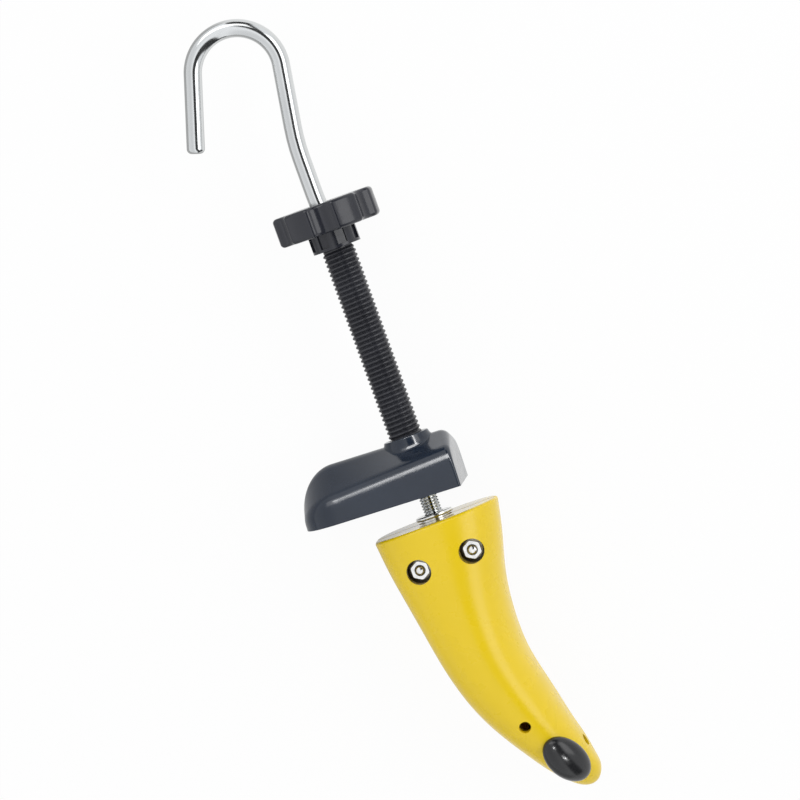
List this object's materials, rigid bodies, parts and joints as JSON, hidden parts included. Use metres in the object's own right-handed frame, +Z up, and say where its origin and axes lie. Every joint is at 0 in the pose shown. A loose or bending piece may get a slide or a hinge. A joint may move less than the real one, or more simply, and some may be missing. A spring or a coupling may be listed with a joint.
{
  "type": "shoe stretcher",
  "caption": "Two-way stretcher for high-heeled shoes: hooked rod spreads a split plastic toe, a knob on a threaded sleeve drives the heel piece.",
  "frame": {"origin": "under the middle of the box of the whole stretcher, on the surface it lies on", "axes": "+Y along the rod from the toe to the hook, +X from the sole side to the vamp side, +Z up, across the split of the toe"},
  "size_m": [0.0816, 0.3516, 0.052],
  "materials": {
    "yellow_plastic": "moulded, glossy",
    "black_gloss": "moulded, high gloss",
    "black_knob": "moulded, half gloss",
    "black_thread": "moulded thread, half matt",
    "black_rubber": "smooth, half gloss",
    "chrome_steel": "polished plating",
    "zinc_steel": "zinc plated"
  },
  "bodies": {
    "frame": {"hinge_block": "zinc_steel", "captive_nut": "zinc_steel", "near_hinge_pin": "zinc_steel", "far_hinge_pin": "zinc_steel", "top_washer": "zinc_steel"},
    "spreader": {"crosshead": "zinc_steel", "cross_pin": "zinc_steel"},
    "hook_rod": {"hook_rod": "chrome_steel", "stop_nut": "zinc_steel", "swivel_clip": "zinc_steel"},
    "screw_sleeve": {"threaded_sleeve": "black_thread", "hand_knob": "black_knob"},
    "heel": {"heel_shell": "black_gloss"},
    "near_half": {"near_toe_shell": "yellow_plastic", "near_hinge_plate": "zinc_steel", "near_bolts": "zinc_steel", "near_bolt_washers": "zinc_steel", "near_bolt_nuts": "zinc_steel"},
    "far_half": {"far_toe_shell": "yellow_plastic", "far_hinge_plate": "zinc_steel", "far_bolts": "zinc_steel", "far_bolt_washers": "zinc_steel", "far_bolt_nuts": "zinc_steel"},
    "bunion_plug": {"bunion_plug": "black_rubber"}
  },
  "joints": [
    {"name": "spreader_travel", "type": "slide", "parent": "frame", "child": "spreader", "axis": [0, -1, 0], "range_m": [0, 0.008]},
    {"name": "hook_turn", "type": "hinge", "parent": "spreader", "child": "hook_rod", "pos_m": [0.0107, 0.0513, 0.02601], "axis": [0, -1, 0], "range_deg": [0, 2304]},
    {"name": "knob_turn", "type": "hinge", "parent": "spreader", "child": "screw_sleeve", "pos_m": [0.0107, 0.0813, 0.02601], "axis": [0, -1, 0], "range_deg": [0, 14400]},
    {"name": "heel_travel", "type": "slide", "parent": "spreader", "child": "heel", "axis": [0, 1, 0], "range_m": [0, 0.08]},
    {"name": "near_swing", "type": "hinge", "parent": "frame", "child": "near_half", "pos_m": [0.0107, -0.0553, 0.03401], "axis": [-1, 0, 0], "range_deg": [0, 5]},
    {"name": "far_swing", "type": "hinge", "parent": "frame", "child": "far_half", "pos_m": [0.0107, -0.0553, 0.01801], "axis": [1, 0, 0], "range_deg": [0, 5]},
    {"name": "plug_pull", "type": "slide", "parent": "near_half", "child": "bunion_plug", "axis": [0.181, -0.408, 0.8948], "range_m": [0, 0.009]}
  ],
  "couplings": [
    {"joint": "spreader_travel", "follows": "hook_turn", "m_per_rad": 0.00019894},
    {"joint": "near_swing", "follows": "hook_turn", "ratio": 0.0021701},
    {"joint": "far_swing", "follows": "hook_turn", "ratio": 0.0021701},
    {"joint": "heel_travel", "follows": "knob_turn", "m_per_rad": 0.00031831}
  ]
}
